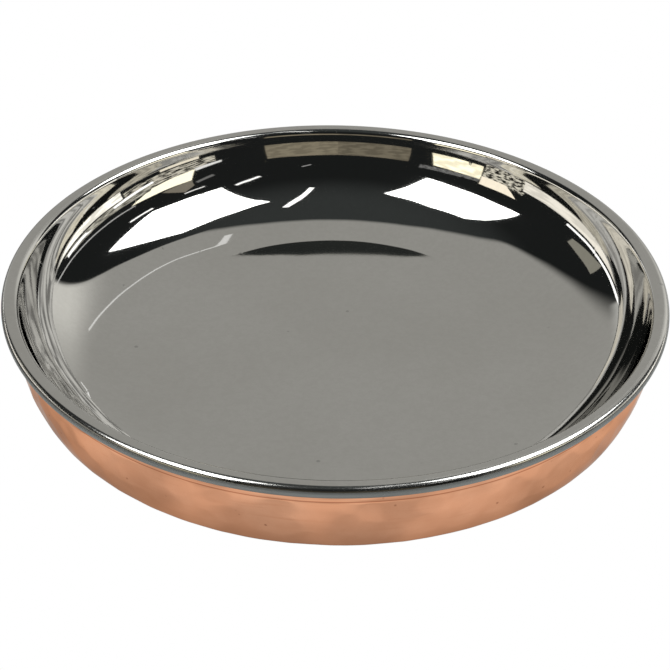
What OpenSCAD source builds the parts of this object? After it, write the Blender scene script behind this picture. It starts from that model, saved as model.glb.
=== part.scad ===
// Round serving tray: a polished steel dish inside a hammered copper shell.
// The steel lip is rolled over a flange on the copper, and the steel floor stands on the
// copper base. In between, the two walls part and leave a closed air space.
// Origin at the middle of the base, on the surface that the tray stands on. +Z is up.
// Lengths in millimetres, angles in degrees.

/* [Overall] */
// Diameter over the rolled rim
rim_d = 200; // [160:1:320]
// Height from the standing face to the top of the lip
tray_h = 27.8; // [22:0.1:34]

/* [Sheets] */
// Thickness of the steel dish
steel_t = 0.6; // [0.4:0.05:0.8]
// Thickness of the copper shell
copper_t = 0.6; // [0.4:0.05:0.8]

/* [Steel dish] */
// Space between the steel neck and the copper side round it
neck_gap = 0.35; // [0.2:0.05:1]
// Radius of the polished neck between the lip and the side
neck_r = 2.4; // [2.2:0.1:3]
// Radius of the curved side, from the flat floor to the neck
cove_r = 32; // [30:0.1:42]

/* [Rolled rim] */
// Diameter of the hollow roll round the edge
roll_d = 4.2; // [3.6:0.1:5.2]
// Space between the end of the roll and the copper side
roll_gap = 0.05; // [0.02:0.01:0.1]

/* [Copper shell] */
// Distance that the top of the side stands in from the rim
side_inset = 3.75; // [3.5:0.05:4.5]
// Radius of the side's bulge, from the shoulder to the heel
bulge_r = 38.9; // [34:0.1:48]
// Lean of the side at its top, towards the tray's axis
top_lean = 8; // [2:0.5:12]
// Outside radius of the heel between the side and the flat base
heel_r = 5.3; // [3:0.1:8]

/* [Hidden] */

$fn = 96;

// Levels, from the lip down
rim_r = rim_d / 2;
lip_under = tray_h - steel_t;
flange_under = lip_under - copper_t;
floor_top = copper_t + steel_t;

// Radius of the copper side at its top, and radius at which the lip and the flange turn level
side_r = rim_r - side_inset;
lip_r = side_r - copper_t - neck_gap + neck_r - steel_t;

// Copper shell: flange, shoulder, side, heel and base run smoothly together
shoulder_r = lip_r - side_r;
shoulder = [lip_r, flange_under - shoulder_r];
bulge = shoulder - (bulge_r + shoulder_r) * [cos(top_lean), sin(top_lean)];
heel_lean = asin((bulge.y - heel_r) / (bulge_r - heel_r));
heel = [bulge.x + (bulge_r - heel_r) * cos(heel_lean), heel_r];
heel_cut = heel + 2 * heel_r * [cos(heel_lean), -sin(heel_lean)];

// Steel dish, inside the copper: lip, neck, cove and floor do the same
neck = [lip_r, tray_h - neck_r];
cove_y = floor_top + cove_r;
cove = [neck.x - sqrt((cove_r + neck_r) ^ 2 - (cove_y - neck.y) ^ 2), cove_y];

// Rolled rim, from the lip round under the flange until it meets the copper side
roll_r = roll_d / 2;
roll = [rim_r - roll_r, tray_h - roll_r];
roll_turn = asin((roll.x - bulge.x - bulge_r - roll_gap) / roll_r);

// Moves its children in a coarse step and a fine one, which keeps more digits of the place
module place(at) {
    near = [for (v = at) round(100 * v) / 100];
    translate(near) translate(at - near) children();
}

// Bent sheet in section: part of a ring, cut out by an outline that starts at its centre.
// Neighbouring stretches are cut along the same line, so they meet without a step.
module bend(centre, inner_r, outer_r, cut) {
    intersection() {
        place(centre) difference() {
            circle(outer_r);
            circle(inner_r);
        }
        polygon(concat([centre], cut));
    }
}

// Level sheet in section, between two radii and two heights
module level(from, to) {
    translate(from) square(to - from);
}

// Polished dish, in one sheet from the floor to the roll that grips the copper flange
module steel_liner() {
    color("silver") rotate_extrude() {
        level([0, copper_t], [cove.x, floor_top]);
        bend(cove, cove_r, cove_r + steel_t, [[cove.x, 0], [neck.x, 0], neck]);
        bend(neck, neck_r - steel_t, neck_r, [cove, [neck.x, cove.y]]);
        level([neck.x, lip_under], [roll.x, tray_h]);
        bend(roll, roll_r - steel_t, roll_r, [
            [roll.x, roll.y + roll_d], roll + [roll_d, roll_d], roll + [roll_d, -roll_d],
            roll - roll_d * [tan(roll_turn), 1]
        ]);
    }
}

// Copper outer dish, in one sheet from the base to the flange under the steel lip
module copper_shell() {
    color("peru") rotate_extrude() {
        level([0, 0], [heel.x, copper_t]);
        bend(heel, heel_r - copper_t, heel_r, [[heel.x, -heel_r], [heel_cut.x, -heel_r], heel_cut]);
        bend(bulge, bulge_r - copper_t, bulge_r, [
            heel, heel_cut, [rim_r, heel_cut.y], [rim_r, shoulder.y], shoulder
        ]);
        bend(shoulder, shoulder_r, shoulder_r + copper_t, [[shoulder.x, tray_h], [bulge.x, tray_h], bulge]);
        level([shoulder.x, flange_under], [roll.x, lip_under]);
    }
}

steel_liner();
copper_shell();
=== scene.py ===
"""Looks of the round serving tray: a mirror-polished steel dish inside a hammered copper shell.

Both sheets are rebuilt here at a fine pitch, so that the hammer marks and the slight waviness of
the polished steel are in the mesh. They follow the CAD sections, except where steel_section says.
The steel is a mirror, so most of the file is the small photo studio that it reflects: a grey sweep
behind, two softboxes, an overhead tube, a dark room, and cream and grey panels low at both sides.
Some panels show only in first reflections and some only in later ones, which no real lamp does.
Lengths are in millimetres up to the mesh builders, which write metres. The studio is in metres.
"""

import math

import bpy
import numpy as np
from mathutils import Matrix, Vector


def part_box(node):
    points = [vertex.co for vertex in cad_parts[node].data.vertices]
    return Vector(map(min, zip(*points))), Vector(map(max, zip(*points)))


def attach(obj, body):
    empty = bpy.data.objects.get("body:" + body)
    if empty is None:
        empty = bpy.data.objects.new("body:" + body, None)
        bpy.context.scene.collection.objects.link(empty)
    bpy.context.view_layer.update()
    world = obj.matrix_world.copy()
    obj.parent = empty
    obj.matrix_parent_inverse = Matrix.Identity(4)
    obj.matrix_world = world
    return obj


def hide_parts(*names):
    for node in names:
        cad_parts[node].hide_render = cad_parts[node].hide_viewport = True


MM = 0.001

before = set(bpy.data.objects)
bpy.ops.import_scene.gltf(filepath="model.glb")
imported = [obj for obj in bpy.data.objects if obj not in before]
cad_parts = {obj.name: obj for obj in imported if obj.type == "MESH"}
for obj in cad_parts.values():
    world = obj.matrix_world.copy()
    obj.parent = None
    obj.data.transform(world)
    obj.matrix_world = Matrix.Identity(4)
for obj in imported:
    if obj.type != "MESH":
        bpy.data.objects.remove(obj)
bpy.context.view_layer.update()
steel_lo, steel_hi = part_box("steel_liner")
_, copper_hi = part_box("copper_shell")

# Sizes that the CAD boxes give
rim_r = steel_hi.x / MM
tray_h = steel_hi.z / MM
copper_t = steel_lo.z / MM
steel_t = tray_h - copper_hi.z / MM
roll_r = rim_r - copper_hi.x / MM

# Sizes of the bends inside those boxes, the same as in the CAD section
neck_r = 2.4
neck_gap = 0.35
cove_r = 32.0
roll_gap = 0.05
side_inset = 3.75
bulge_r = 38.9
top_lean = math.radians(8)
heel_r = 5.3

# Finer than the CAD section: easing between floor and cove, and slope of the side at its top
ease_r = 225.0
ease = math.radians(3.3)
wall_slope = math.radians(74.5)

# Steps round each sheet
steel_segments = 512
copper_segments = 640

# Hammer marks: spacing along a ring and between rings, place of the top ring under the plain band,
# and how far a mark wanders along and across its ring
mark_pitch = 9.0
ring_pitch = 0.86 * mark_pitch
top_ring = 0.42 * mark_pitch
wander_along = 0.26
wander_across = 0.2

# Radius of the hammer's face, depth at a mark's middle, tilt, softness of the ridges between marks,
# and the depths that all of it keeps between
mark_curve = 54.0
mark_depth = 0.15
mark_tilt = 0.03
ridge_soft = 0.012
shallowest = 0.005
deepest = 0.3
ding_count = 90

# Height at which the marks give way to the plain band, and the groove and depth of that band
plain_band = 20.6
groove_width = 0.16
groove_depth = 0.1
band_depth = 0.02

floor_top = copper_t + steel_t
lip_under = tray_h - steel_t
flange_under = lip_under - copper_t
side_r = rim_r - side_inset
lip_r = side_r - copper_t - neck_gap + neck_r - steel_t
shoulder_r = lip_r - side_r


# ---------------------------------------------------------------- sections

def arc(centre, radius, start, end, steps):
    """Points on an arc in the (radius, height) plane; angles in radians from the outward direction."""
    a = np.linspace(start, end, steps)
    return np.column_stack([centre[0] + radius * np.cos(a), centre[1] + radius * np.sin(a)])


def straight(a, b, steps):
    return np.linspace(a, b, steps)


def joined(*stretches):
    """One line from stretches that end where the next begins."""
    line = [stretches[0]]
    line += [s[1:] for s in stretches[1:]]
    return np.vstack(line)


def steel_section():
    """The dish's upper face from the axis out and round the roll, and its lower face back in.

    Unlike the CAD section, the floor eases into the cove, which puts it 0.3 mm lower, and the cove's
    top runs straight into the neck."""
    neck = (lip_r, tray_h - neck_r)
    cove_y = floor_top + cove_r
    reach = (cove_r + neck_r + (neck[1] - cove_y) * math.cos(wall_slope)) / math.sin(wall_slope)
    cove = (neck[0] - reach, cove_y)
    toe = (cove[0] + (cove_r - ease_r) * math.sin(ease), cove_y - (cove_r - ease_r) * math.cos(ease))
    low_floor = toe[1] - ease_r
    roll = (rim_r - roll_r, tray_h - roll_r)
    bulge_x = lip_r - (bulge_r + shoulder_r) * math.cos(top_lean)
    turn = math.asin((roll[0] - bulge_x - bulge_r - roll_gap) / roll_r)
    low = -math.pi / 2
    slope = low + wall_slope
    back = slope + math.pi
    top = joined(
        straight((0, low_floor), (toe[0], low_floor), 20),
        arc(toe, ease_r, low, low + ease, 10),
        arc(cove, cove_r, low + ease, slope, 64),
        straight(arc(cove, cove_r, slope, slope, 1)[0], arc(neck, neck_r, back, back, 1)[0], 8),
        arc(neck, neck_r, back, math.pi / 2, 28),
        straight((neck[0], tray_h), (roll[0], tray_h), 4),
        arc(roll, roll_r, math.pi / 2, low - turn, 36),
    )
    under = joined(
        arc(roll, roll_r - steel_t, low - turn, math.pi / 2, 10),
        straight((roll[0], lip_under), (neck[0], lip_under), 2),
        arc(neck, neck_r - steel_t, math.pi / 2, back, 6),
        arc(cove, cove_r + steel_t, slope, low, 12),
        straight((cove[0], copper_t), (0, copper_t), 3),
    )
    return top, under


def copper_section():
    """The shell's outer face from the axis out and up to the flange, and its inner face back in."""
    shoulder = (lip_r, flange_under - shoulder_r)
    reach = bulge_r + shoulder_r
    bulge = (shoulder[0] - reach * math.cos(top_lean), shoulder[1] - reach * math.sin(top_lean))
    lean = math.asin((bulge[1] - heel_r) / (bulge_r - heel_r))
    heel = (bulge[0] + (bulge_r - heel_r) * math.cos(lean), heel_r)
    low = -math.pi / 2
    out = joined(
        straight((0, 0), (heel[0], 0), 48),
        arc(heel, heel_r, low, -lean, 12),
        arc(bulge, bulge_r, -lean, top_lean, 72),
        arc(shoulder, shoulder_r, math.pi + top_lean, math.pi / 2, 5),
        straight((shoulder[0], flange_under), (copper_hi.x / MM, flange_under), 2),
    )
    back = joined(
        straight((copper_hi.x / MM, lip_under), (shoulder[0], lip_under), 2),
        arc(shoulder, shoulder_r + copper_t, math.pi / 2, math.pi + top_lean, 4),
        arc(bulge, bulge_r - copper_t, top_lean, -lean, 12),
        arc(heel, heel_r - copper_t, -lean, low, 4),
        straight((heel[0], copper_t), (0, copper_t), 3),
    )
    return out, back


# ---------------------------------------------------------------- meshes

def turned(name, seen, hidden, segments, shape):
    """A closed sheet turned about the axis. shape moves the points of the seen face, in millimetres.

    Normals and faces suit a sheet seen from above. On the copper, which is seen from below, both
    point into the sheet: hammered relies on the normals, and the faces are inside out."""
    line = np.vstack([seen, hidden])
    rings = line[1:-1]
    a = np.arange(segments) * 2 * math.pi / segments
    ring = np.column_stack([np.cos(a), np.sin(a)])
    points = np.zeros((len(rings), segments, 3))
    points[:, :, :2] = rings[:, None, :1] * ring[None]
    points[:, :, 2] = rings[:, 1:]
    n = len(seen) - 1
    slope = np.gradient(rings[:n], axis=0)
    slope /= np.linalg.norm(slope, axis=1)[:, None]
    normals = np.zeros((n, segments, 3))
    normals[:, :, :2] = -slope[:, None, 1:] * ring[None]
    normals[:, :, 2] = slope[:, :1]
    points[:n] = shape(points[:n].reshape(-1, 3), normals.reshape(-1, 3)).reshape(n, segments, 3)
    first = np.array([0, 0, points[0, :, 2].mean()])
    last = np.array([0, 0, line[-1, 1]])
    verts = np.vstack([points.reshape(-1, 3), first, last]) * MM

    i = np.arange(len(rings) - 1)[:, None] * segments
    j = np.arange(segments)[None]
    k = (j + 1) % segments
    quads = np.stack([i + j, i + k, i + k + segments, i + j + segments], -1).reshape(-1, 4)
    end = (len(rings) - 1) * segments
    j = j.ravel()
    k = k.ravel()
    caps = [(len(verts) - 2, int(p), int(q)) for p, q in zip(j, k)]
    caps += [(len(verts) - 1, int(end + q), int(end + p)) for p, q in zip(j, k)]
    faces = [tuple(f) for f in quads[:, ::-1].tolist()] + caps
    mesh = bpy.data.meshes.new(name)
    mesh.from_pydata(verts.tolist(), [], faces)
    mesh.polygons.foreach_set("use_smooth", [True] * len(faces))
    mesh.update()
    mesh.validate()
    piece = bpy.data.objects.new(name, mesh)
    bpy.context.scene.collection.objects.link(piece)
    return piece


def ripples(points, seed, wavelengths, slope):
    """A smooth random height over (x, y): a sum of plane waves whose slopes are alike."""
    rng = np.random.default_rng(seed)
    height = np.zeros(len(points))
    for length in wavelengths:
        for _ in range(5):
            a = rng.uniform(0, 2 * math.pi)
            wave = 2 * math.pi / length
            phase = rng.uniform(0, 2 * math.pi)
            along = points[:, 0] * math.cos(a) + points[:, 1] * math.sin(a) + 0.6 * points[:, 2]
            height += slope / wave * np.sin(wave * along + phase)
    return height


def polished(points, normals):
    """The polisher's slight waviness: a little on the floor, more up the cove, none at the rim."""
    r = np.hypot(points[:, 0], points[:, 1])
    amount = np.interp(r, [0, 55, 75, lip_r - 7, lip_r - 3, rim_r], [0.25, 0.3, 1, 1, 0, 0])
    height = ripples(points, 3, (38, 21, 12), 0.0011)
    return points + normals * (np.minimum(height * amount, 0.02))[:, None]


def hammer_marks():
    """Middles of the hammer blows, in rings up the side and over the base."""
    rng = np.random.default_rng(11)
    out, _ = copper_section()
    along = np.concatenate([[0], np.cumsum(np.linalg.norm(np.diff(out, axis=0), axis=1))])
    top = along[np.argmin(np.abs(out[:, 1] - plain_band) + 100 * (out[:, 0] < 90))]
    marks = []
    for ring, s in enumerate(np.arange(top - top_ring, 0, -ring_pitch)):
        r = np.interp(s, along, out[:, 0])
        count = max(1, int(round(2 * math.pi * r / mark_pitch)))
        a = (np.arange(count) + 0.5 * (ring % 2)) * 2 * math.pi / count
        a += rng.normal(0, wander_along, count) * mark_pitch / max(r, mark_pitch)
        at = s + rng.normal(0, wander_across, count) * mark_pitch
        r = np.interp(at, along, out[:, 0])
        z = np.interp(at, along, out[:, 1])
        marks.append(np.column_stack([r * np.cos(a), r * np.sin(a), z]))
    marks = np.vstack(marks)
    return marks, rng.normal(0, 0.25, len(marks)), rng.normal(0, mark_tilt, marks.shape)


def dings():
    """Places, sizes and depths of the odd smaller dings on the side."""
    rng = np.random.default_rng(29)
    out, _ = copper_section()
    side = out[(out[:, 0] > 88) & (out[:, 1] > 3) & (out[:, 1] < 19)]
    spot = side[rng.integers(0, len(side), ding_count)]
    a = rng.uniform(0, 2 * math.pi, ding_count)
    at = np.column_stack([spot[:, 0] * np.cos(a), spot[:, 0] * np.sin(a), spot[:, 1]])
    size = rng.uniform(0.9, 2.2, ding_count)
    depth = rng.uniform(0.03, 0.09, ding_count)
    return at, size, depth


def hammered(points, normals):
    """Shallow round facets that meet in soft ridges, always sunk into the sheet.

    They are calmer towards the heel, and end in a fine groove at the plain band under the rim."""
    marks, uneven, tilt = hammer_marks()
    ridge = np.zeros(len(points))
    for part in np.array_split(np.arange(len(points)), max(1, len(points) // 4000)):
        gap = points[part][:, None, :] - marks[None]
        bowl = (gap ** 2).sum(-1) / (2 * mark_curve) + 0.05 * uneven + (gap * tilt).sum(-1)
        least = bowl.min(1)
        crowd = np.exp(-(bowl - least[:, None]) / ridge_soft).sum(1)
        ridge[part] = least - ridge_soft * np.log(crowd)
    sunk = mark_depth - ridge
    for at, size, depth in zip(*dings()):
        gap2 = ((points - at) ** 2).sum(1)
        sunk += np.where(gap2 < 16 * size * size, depth * np.exp(-gap2 / (2 * size * size)), 0)
    sunk = np.clip(sunk, shallowest, deepest)
    z = points[:, 2]
    r = np.hypot(points[:, 0], points[:, 1])
    side = (r > 80) & (z > 1)
    fade = np.where(side, np.clip((plain_band + 0.2 - z) / 1.2, 0, 1), 1)
    sunk = sunk * fade + band_depth * (1 - fade)
    calm = np.where(side, np.clip((9 - z) / 6, 0, 0.7), 0)
    sunk = sunk * (1 - calm) + 0.07 * calm
    groove = np.where(side, np.exp(-((z - plain_band) / groove_width) ** 2), 0)
    flange = np.where(side & (z > 25), 0, 1)
    return points + normals * ((sunk + groove_depth * groove) * flange)[:, None]


# ---------------------------------------------------------------- materials

class Nodes:
    """Short names for building a node tree."""

    def __init__(self, owner):
        owner.use_nodes = True
        self.tree = owner.node_tree
        self.tree.nodes.clear()

    def add(self, kind, values=None, **settings):
        node = self.tree.nodes.new(kind)
        for key, value in settings.items():
            setattr(node, key, value)
        for key, value in (values or {}).items():
            if isinstance(value, bpy.types.NodeSocket):
                self.tree.links.new(value, node.inputs[key])
            else:
                node.inputs[key].default_value = value
        return node

    def noise(self, where, scale, detail=3.0, rough=0.5):
        values = {"Vector": where, "Scale": scale, "Detail": detail, "Roughness": rough}
        return self.add("ShaderNodeTexNoise", values).outputs["Fac"]

    def cells(self, where, scale):
        values = {"Vector": where, "Scale": scale, "Randomness": 1.0}
        return self.add("ShaderNodeTexVoronoi", values).outputs["Distance"]

    def span(self, value, lo, hi, to_lo=0.0, to_hi=1.0):
        values = {"Value": value, "From Min": lo, "From Max": hi, "To Min": to_lo, "To Max": to_hi}
        return self.add("ShaderNodeMapRange", values, interpolation_type="SMOOTHSTEP").outputs["Result"]

    def sum(self, a, b, kind="ADD"):
        return self.add("ShaderNodeMath", {0: a, 1: b}, operation=kind).outputs[0]

    def mix(self, factor, a, b):
        return self.add("ShaderNodeMix", {0: factor, 6: a, 7: b}, data_type="RGBA").outputs[2]

    def stretched(self, where, scale, turn=(0, 0, 0)):
        values = {"Vector": where, "Scale": scale, "Rotation": turn}
        return self.add("ShaderNodeMapping", values).outputs["Vector"]

    def part(self, vector, axis):
        return self.add("ShaderNodeSeparateXYZ", {"Vector": vector}).outputs[axis]

    def length(self, vector):
        return self.add("ShaderNodeVectorMath", {0: vector}, operation="LENGTH").outputs["Value"]

    def bump(self, height, strength, distance):
        values = {"Strength": strength, "Distance": distance, "Height": height}
        return self.add("ShaderNodeBump", values).outputs["Normal"]


def polished_steel():
    material = bpy.data.materials.new("polished_steel")
    n = Nodes(material)
    where = n.add("ShaderNodeTexCoord").outputs["Object"]
    cloud = n.noise(where, 14.0, 4.0, 0.6)
    speck = n.cells(where, 95.0)
    rare = n.noise(where, 60.0, 1.0)
    pit = n.sum(n.span(speck, 0.035, 0.075, 1.0, 0.0), n.span(rare, 0.49, 0.57), "MULTIPLY")
    wipe = n.noise(n.stretched(where, (900, 26, 26), (0, 0, 0.5)), 1.0, 2.0)
    wipe_b = n.noise(n.stretched(where, (30, 800, 30), (0, 0, -0.35)), 1.0, 2.0)
    scratch = n.sum(n.span(wipe, 0.70, 0.80), n.span(wipe_b, 0.72, 0.82), "MAXIMUM")
    tone = n.mix(n.span(cloud, 0.3, 0.7), (0.600, 0.592, 0.565, 1), (0.640, 0.634, 0.610, 1))
    grain = n.noise(where, 520.0, 3.0, 0.7)
    tone = n.mix(n.span(grain, 0.3, 0.7, 0.0, 0.22), tone, (0.50, 0.49, 0.465, 1))
    tone = n.mix(n.sum(pit, 0.5, "MULTIPLY"), tone, (0.28, 0.28, 0.27, 1))
    rough = n.sum(n.span(cloud, 0.35, 0.75, 0.025, 0.05), n.sum(scratch, 0.06, "MULTIPLY"))
    rough = n.sum(rough, n.sum(pit, 0.2, "MULTIPLY"))
    reach = n.length(n.stretched(where, (1, 1, 0)))
    rim = n.span(reach, 0.0945, 0.0965)
    rough = n.sum(rough, n.sum(rim, 0.12, "MULTIPLY"))
    z = n.part(where, "Z")
    outside = n.span(reach, 0.0970, 0.0975)
    satin_top = (tray_h - 1.45) * MM
    # The roll's lower outer side: more roughness, a real satin finish, and a darker tone there, a painted
    # shade.
    satin_and_painted_shade = n.sum(outside, n.span(z, satin_top, (tray_h - 1.25) * MM, 1.0, 0.0), "MULTIPLY")
    # A painted shade: a dark line round the roll where its polished top meets the satin lower side.
    painted_shade_line_start = n.span(z, satin_top, (tray_h - 1.30) * MM)
    painted_shade_line_end = n.span(z, (tray_h - 1.05) * MM, (tray_h - 0.85) * MM, 0.85, 0.0)
    edge = n.sum(painted_shade_line_start, painted_shade_line_end, "MULTIPLY")
    tone = n.mix(n.sum(edge, outside, "MULTIPLY"), tone, (0.09, 0.09, 0.085, 1))
    rough = n.sum(rough, n.sum(satin_and_painted_shade, 0.33, "MULTIPLY"))
    tone = n.mix(satin_and_painted_shade, tone, (0.26, 0.275, 0.275, 1))
    relief = n.sum(n.sum(grain, 0.12, "MULTIPLY"), n.sum(scratch, -0.2, "MULTIPLY"))
    height = n.sum(n.sum(pit, -1.0, "MULTIPLY"), relief)
    bump = n.bump(height, 0.25, 0.00004)
    values = {"Base Color": tone, "Roughness": rough, "Normal": bump, "Metallic": 1.0}
    shader = n.add("ShaderNodeBsdfPrincipled", values)
    n.add("ShaderNodeOutputMaterial", {"Surface": shader.outputs["BSDF"]})
    return material


def hammered_copper():
    material = bpy.data.materials.new("hammered_copper")
    n = Nodes(material)
    where = n.add("ShaderNodeTexCoord").outputs["Object"]
    z = n.part(where, "Z")
    cloud = n.noise(where, 45.0, 5.0, 0.6)
    streak = n.noise(n.stretched(where, (60, 60, 700)), 1.0, 3.0)
    tone = n.mix(n.span(cloud, 0.35, 0.7), (0.76, 0.366, 0.215, 1), (0.84, 0.43, 0.265, 1))
    tone = n.mix(n.span(streak, 0.55, 0.8, 0.0, 0.35), tone, (0.68, 0.30, 0.165, 1))
    speck = n.cells(where, 260.0)
    rare = n.noise(where, 130.0, 2.0)
    pit = n.sum(n.span(speck, 0.06, 0.16, 1.0, 0.0), n.span(rare, 0.54, 0.62), "MULTIPLY")
    tone = n.mix(n.sum(pit, 0.55, "MULTIPLY"), tone, (0.28, 0.10, 0.05, 1))
    # A painted shade: darker copper in a thin line along the groove at the top of the plain band.
    rise = n.sum(z, plain_band * MM, "SUBTRACT")
    off_line = n.add("ShaderNodeMath", {0: rise}, operation="ABSOLUTE").outputs[0]
    line = n.span(off_line, 0.00006, 0.00028, 0.75, 0.0)
    tone = n.mix(line, tone, (0.40, 0.13, 0.06, 1))
    rough = n.sum(n.span(cloud, 0.3, 0.75, 0.09, 0.17), n.sum(pit, 0.2, "MULTIPLY"))
    fine = n.noise(where, 900.0, 3.0)
    height = n.sum(n.sum(fine, 0.3, "MULTIPLY"), n.sum(pit, -1.0, "MULTIPLY"))
    bump = n.bump(height, 0.35, 0.00006)
    values = {"Base Color": tone, "Roughness": rough, "Normal": bump, "Metallic": 1.0}
    values["Specular Tint"] = (0.84, 0.66, 0.56, 1)
    shader = n.add("ShaderNodeBsdfPrincipled", values)
    n.add("ShaderNodeOutputMaterial", {"Surface": shader.outputs["BSDF"]})
    return material


# ---------------------------------------------------------------- studio

studio = bpy.data.collections.new("studio")
bpy.context.scene.collection.children.link(studio)
cards = 0

# Lights that more than one panel has
softbox = (5.4, 5.5, 5.5)
cream = (1.3, 1.24, 1.12)
shelf = (0.8, 0.76, 0.65)

# Radius of the round table, its sides, and how far it lies under the tray
table_r = 12
table_sides = 96
table_drop = 0.0003


def direction(az, el):
    """Unit vector from the tray; azimuth in degrees from the back towards the right, elevation up."""
    a, e = math.radians(az), math.radians(el)
    return Vector((math.sin(a) * math.cos(e), math.cos(a) * math.cos(e), math.sin(e)))


def glow(name, colour, soft=None, mottle=None, shown=None):
    """Light-giving material. soft is how far in, over the card, each edge (left, right, low, high) fades.

    shown may limit it to first reflections ("first") or to the ones after ("later")."""
    material = bpy.data.materials.new(name)
    n = Nodes(material)
    strength = 1.0
    if soft or mottle:
        uv = n.add("ShaderNodeTexCoord").outputs["UV"]
        part = n.add("ShaderNodeSeparateXYZ", {"Vector": uv})
        if soft:
            left, right, low, high = soft
            level = None
            x, y = part.outputs["X"], part.outputs["Y"]
            for value, width, flip in ((x, left, False), (x, right, True), (y, low, False), (y, high, True)):
                if width:
                    edge = n.span(value, 1.0, 1.0 - width) if flip else n.span(value, 0.0, width)
                    level = edge if level is None else n.sum(level, edge, "MULTIPLY")
        if mottle:
            scale, lo, hi = mottle
            strength = n.span(n.noise(uv, scale, 2.0), 0.42, 0.58, lo, hi)
    shader = n.add("ShaderNodeEmission", {"Color": (*colour, 1), "Strength": strength}).outputs["Emission"]
    if soft or shown:
        cover = level if soft else 1.0
        if shown:
            depth = n.add("ShaderNodeLightPath").outputs["Ray Depth"]
            kind = "LESS_THAN" if shown == "first" else "GREATER_THAN"
            cover = n.sum(cover, n.sum(depth, 1.5, kind), "MULTIPLY")
        clear = n.add("ShaderNodeBsdfTransparent").outputs["BSDF"]
        shader = n.add("ShaderNodeMixShader", {0: cover, 1: clear, 2: shader}).outputs["Shader"]
    n.add("ShaderNodeOutputMaterial", {"Surface": shader})
    material.cycles.emission_sampling = "NONE"
    return material


def card(corners, light, far=6.0, lamp=False, soft=None, mottle=None, shown=None):
    """A flat panel between directions (azimuth, elevation), seen only in reflections."""
    global cards
    cards += 1
    colour = (light,) * 3 if isinstance(light, (int, float)) else light
    name = f"card_{cards:02d}"
    mesh = bpy.data.meshes.new(name)
    points = [direction(*c) * far if len(c) == 2 else Vector(c) for c in corners]
    mesh.from_pydata(points, [], [tuple(range(len(corners)))])
    uv = mesh.uv_layers.new(name="uv")
    square = ((0, 0), (1, 0), (1, 1), (0, 1))
    for loop, at in zip(uv.data, square if len(corners) == 4 else [(0.5, 0.5)] * len(corners)):
        loop.uv = at
    panel = bpy.data.objects.new(name, mesh)
    material = glow(name, colour, soft, mottle, shown)
    if lamp:
        material.cycles.emission_sampling = "FRONT_BACK"
    mesh.materials.append(material)
    studio.objects.link(panel)
    panel.visible_camera = False
    panel.visible_shadow = False
    panel.visible_diffuse = lamp
    return panel


def strip(points, width, light, far=5.8, **how):
    """A narrow panel along a chain of directions, of one angular width in degrees."""
    ends = [direction(*p) * far for p in points]
    for a, b in zip(ends, ends[1:]):
        side = a.cross(b).normalized() * far * math.radians(width) / 2
        card([a - side, b - side, b + side, a + side], light, far, **how)


def sweep(points, light, y, **how):
    """A panel on an upright plane at distance y behind the tray; points are (x/y, z/y)."""
    card([(u * y, y, v * y) for u, v in points], light, **how)


def studio_back():
    backdrop = [(-1.0, -0.02), (1.12, -0.02), (1.66, 4.6), (-2.9, 4.6)]
    sweep(backdrop, (0.425, 0.42, 0.40), 6.0, soft=(0.10, 0.02, 0, 0.30))
    card([(-46, -1), (-24, -1), (-24, 12), (-45, 17)], (0.60, 0.60, 0.58), 5.9, soft=(0.1, 0.6, 0, 0.5))
    card([(13, 2), (50, 4), (52, 42), (15, 42)], (0.86, 0.85, 0.81), 5.9, soft=(0.8, 0.1, 0, 0.6))
    strip([(13.4, 10), (14.6, 13.2), (16.6, 12.8)], 0.7, 1.2, 5.5, shown="first")
    strip([(27, 64), (13, 55.5), (20, 53), (23, 48), (24, 42), (24, 31)], 1.0, 1.0, 5.5, shown="first")


def studio_left():
    card([(-142, 36), (-98, 33), (-95, 61), (-151, 63)], softbox, lamp=True, shown="first")
    card([(-140, 29), (-92, 29), (-92, 58), (-140, 58)], 0.85, 6.2, shown="later", mottle=(4, 0.7, 1.3))
    side_wall = [(-172, 20), (-138, 20), (-138, 56), (-172, 56)]
    card(side_wall, (1.05, 1.0, 0.88), 6.2, shown="later", mottle=(5, 0.7, 1.2))
    card([(-116, 20), (-64, 20), (-64, 28.7), (-116, 28.7)], cream, 6.2, shown="later", mottle=(7, 0.8, 1.15))
    card([(-108, -2), (-54, -2), (-46, 5.5), (-107, 11.5)], cream, 6.2, mottle=(5, 0.85, 1.1))
    strip([(-84, 13.2), (-64, 10.6), (-46, 7.6), (-36, 3.4)], 1.7, 2.0)
    card([(-77, 18.6), (-60.5, 11.5), (-58.5, 22.5), (-76.5, 23.5)], (0.34, 0.33, 0.28), 6.1)
    card([(-145, 6), (-125, 5), (-124, 20), (-143, 20)], (2.0, 1.85, 1.4), mottle=(3, 0.75, 1.1))
    card([(-124, 15.5), (-114, 15), (-107, 23), (-123, 24.5)], (1.6, 1.45, 1.2))
    card([(-148, 22), (-124, 19.5), (-124, 23), (-148, 26)], 0.3, mottle=(14, 0, 1.4))
    card([(-124, 0), (-106, 0), (-106, 16), (-124, 16)], shelf, 6.3, mottle=(9, 0.02, 1.3))


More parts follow.
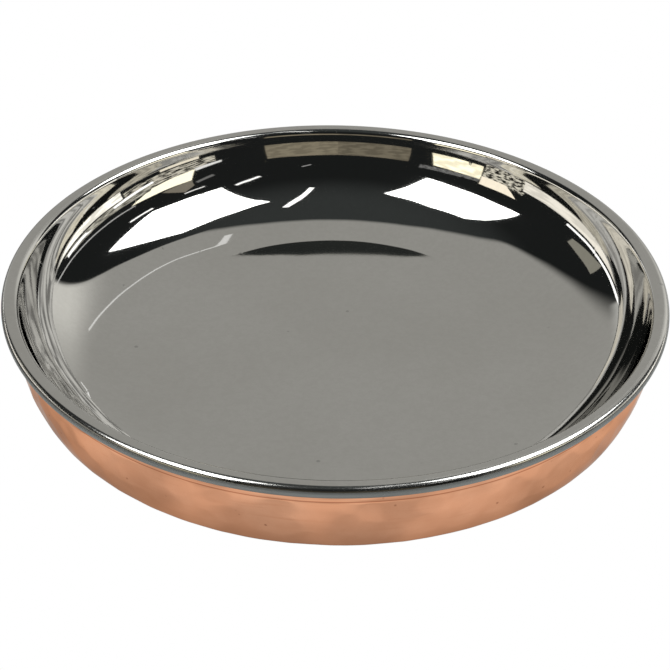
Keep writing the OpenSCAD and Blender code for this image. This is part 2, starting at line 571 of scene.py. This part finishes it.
def studio_right():
    card([(96, 35), (127, 42), (127, 70), (67, 60), (66, 34)], softbox, lamp=True, shown="first")
    card([(40, 22), (128, 18), (128, 44), (40, 44)], 0.86, 6.2, shown="later", mottle=(6, 0.45, 1.45))
    card([(60, 44), (128, 44), (128, 60), (60, 60)], 0.66, 6.2, shown="later")
    side_wall = [(120, 26), (150, 28), (150, 54), (120, 54)]
    card(side_wall, (1.6, 1.52, 1.32), 6.1, shown="later", mottle=(6, 0.8, 1.1))
    strip([(44, 7.5), (60, 13.5), (78, 18.5), (95, 21.5)], 0.8, 0.7)
    card([(50, 0), (94, 0), (94, 9.8), (48, 5)], (1.9, 1.85, 1.7), mottle=(4, 0.7, 1.1))
    card([(58, 7.5), (108, 11), (108, 17), (64, 12)], (0.62, 0.60, 0.52), 6.1, mottle=(9, 0.2, 1.3))
    strip([(60, 9.5), (80, 12.5), (108, 10)], 2.0, 2.0, 5.7)
    card([(106, 15.5), (125, 14), (121, 24), (94, 20)], (2.0, 1.9, 1.5))
    card([(125, 13), (136, 12), (136, 14), (125, 16)], 1.2)
    card([(108, 24), (121, 24), (120, 30), (114, 33)], (0.30, 0.27, 0.22))
    strip([(113, 34), (123, 35)], 0.9, 1.5)
    strip([(86, 30.5), (98, 32.5)], 1.2, 2.0)
    strip([(134, 44), (146, 40)], 1.5, 2.0)
    strip([(165, 35), (169, 33)], 0.8, 0.5)
    strip([(122, 28), (130, 26)], 2.0, 0.25)
    card([(95, 5), (134, 5), (134, 14), (95, 14)], shelf, 6.3, mottle=(9, 0.02, 1.2))
    card([(112, 0), (128, 0), (128, 4), (112, 4)], (1.3, 1.2, 1.0))


def studio_front():
    card([(153, 5.5), (180, 5.5), (180, 21.5), (153, 21.5)], (0.32, 0.28, 0.205), mottle=(5, 0.8, 1.1))
    card([(-180, 5.5), (-153, 5.5), (-153, 21.5), (-180, 21.5)], (0.24, 0.21, 0.155), mottle=(5, 0.75, 1.1))
    strip([(112, 78.7), (165, 60.6)], 1.6, 2.5, shown="first")


def lit_table(name):
    """Light that the table gives back: pale in a ring round the tray, dimmer beneath and further out.

    Each stop has its distance from the middle, in millimetres, and its light."""
    material = bpy.data.materials.new(name)
    n = Nodes(material)
    where = n.add("ShaderNodeTexCoord").outputs["Object"]
    reach = n.length(where)
    way = n.add("ShaderNodeVectorMath", {0: where}, operation="NORMALIZE").outputs["Vector"]
    side = n.part(way, "X")
    ramp_end = 200
    ramp = n.add("ShaderNodeValToRGB", {"Fac": n.sum(reach, 1 / (ramp_end * MM), "MULTIPLY")})
    stops = [(79, 0.08), (87, 0.42), (96, 0.60), (108, 0.76), (135, 0.82), (156, 0.48), (180, 0.33)]
    for i, (at, light) in enumerate(stops):
        elements = ramp.color_ramp.elements
        stop = elements[i] if i < 2 else elements.new(at / ramp_end)
        stop.position = at / ramp_end
        stop.color = (light, light, 0.97 * light, 1)
    # Beyond 135 mm the light rises to the right and falls to the left: a painted shadow of the tray on its
    # left.
    level = n.sum(1.0, n.sum(n.sum(side, 0.5, "MULTIPLY"), n.span(reach, 0.135, 0.16), "MULTIPLY"))
    patch = n.span(n.noise(where, 28.0, 2.0), 0.35, 0.65, 0.8, 1.15)
    strength = n.sum(level, patch, "MULTIPLY")
    shader = n.add("ShaderNodeEmission", {"Color": ramp.outputs["Color"], "Strength": strength})
    n.add("ShaderNodeOutputMaterial", {"Surface": shader.outputs["Emission"]})
    material.cycles.emission_sampling = "NONE"
    return material


def table():
    """The pale table: white to the eye, and a lit grey to whatever the tray reflects."""
    for name, shown in (("table_seen", True), ("table_lit", False)):
        a = np.arange(table_sides) * 2 * math.pi / table_sides
        mesh = bpy.data.meshes.new(name)
        edge = [(table_r * math.cos(t), table_r * math.sin(t), -table_drop) for t in a]
        mesh.from_pydata(edge, [], [tuple(range(table_sides))])
        disc = bpy.data.objects.new(name, mesh)
        studio.objects.link(disc)
        disc.visible_camera = shown
        disc.visible_glossy = not shown
        disc.visible_diffuse = not shown
        disc.visible_shadow = False
        if shown:
            mesh.materials.append(glow(name, (1, 1, 1)))
        else:
            mesh.materials.append(lit_table(name))


def room():
    """White to the camera, an even fill for matt surfaces, and a dark room to the mirror."""
    world = bpy.data.worlds.new("room")
    bpy.context.scene.world = world
    n = Nodes(world)
    path = n.add("ShaderNodeLightPath")
    rise = n.part(n.add("ShaderNodeTexCoord").outputs["Generated"], "Z")
    dim = n.span(rise, 0.72, 1.0, 0.017, 0.055)
    dark = n.add("ShaderNodeBackground", {"Color": (0.88, 0.97, 0.97, 1), "Strength": dim})
    fill = n.add("ShaderNodeBackground", {"Color": (1, 0.99, 0.97, 1), "Strength": 0.55})
    white = n.add("ShaderNodeBackground", {"Color": (1, 1, 1, 1), "Strength": 1.0})
    matt = path.outputs["Is Diffuse Ray"]
    seen = path.outputs["Is Camera Ray"]
    a = n.add("ShaderNodeMixShader", {0: matt, 1: dark.outputs[0], 2: fill.outputs[0]})
    b = n.add("ShaderNodeMixShader", {0: seen, 1: a.outputs[0], 2: white.outputs[0]})
    n.add("ShaderNodeOutputWorld", {"Surface": b.outputs[0]})
    world.cycles.sampling_method = "NONE"


def camera():
    """Stands 600 mm from the middle of the rim, 33 degrees above it."""
    away, rise = 600 * MM, math.radians(32.92)
    aim, turn, roll = math.radians(-1.39), math.radians(0.004), math.radians(0.98)
    target = Vector((0, 0, (tray_h - roll_r) * MM))
    place = target + away * Vector((0, -math.cos(rise), math.sin(rise)))
    ahead = (target - place).normalized()
    right = Vector((1, 0, 0))
    up = right.cross(ahead)
    ahead = ahead * math.cos(turn) + right * math.sin(turn)
    right = ahead.cross(up)
    ahead, up = ahead * math.cos(aim) + up * math.sin(aim), up * math.cos(aim) - ahead * math.sin(aim)
    right, up = right * math.cos(roll) + up * math.sin(roll), up * math.cos(roll) - right * math.sin(roll)
    data = bpy.data.cameras.new("camera")
    data.sensor_width = 36
    data.lens = 106.74
    data.clip_start = 0.01
    data.clip_end = 60
    eye = bpy.data.objects.new("camera", data)
    eye.matrix_world = Matrix.Translation(place) @ Matrix((right, up, -ahead)).transposed().to_4x4()
    bpy.context.scene.collection.objects.link(eye)
    bpy.context.scene.camera = eye


# ---------------------------------------------------------------- the tray

def dress(node, piece, material):
    piece.data.materials.append(material)
    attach(piece, "root")
    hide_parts(node)


steel = turned("steel_dish", *steel_section(), steel_segments, polished)
dress("steel_liner", steel, polished_steel())
copper = turned("copper_dish", *copper_section(), copper_segments, hammered)
dress("copper_shell", copper, hammered_copper())

studio_back()
studio_left()
studio_right()
studio_front()
table()
room()
camera()
bpy.context.scene.view_settings.view_transform = "Standard"
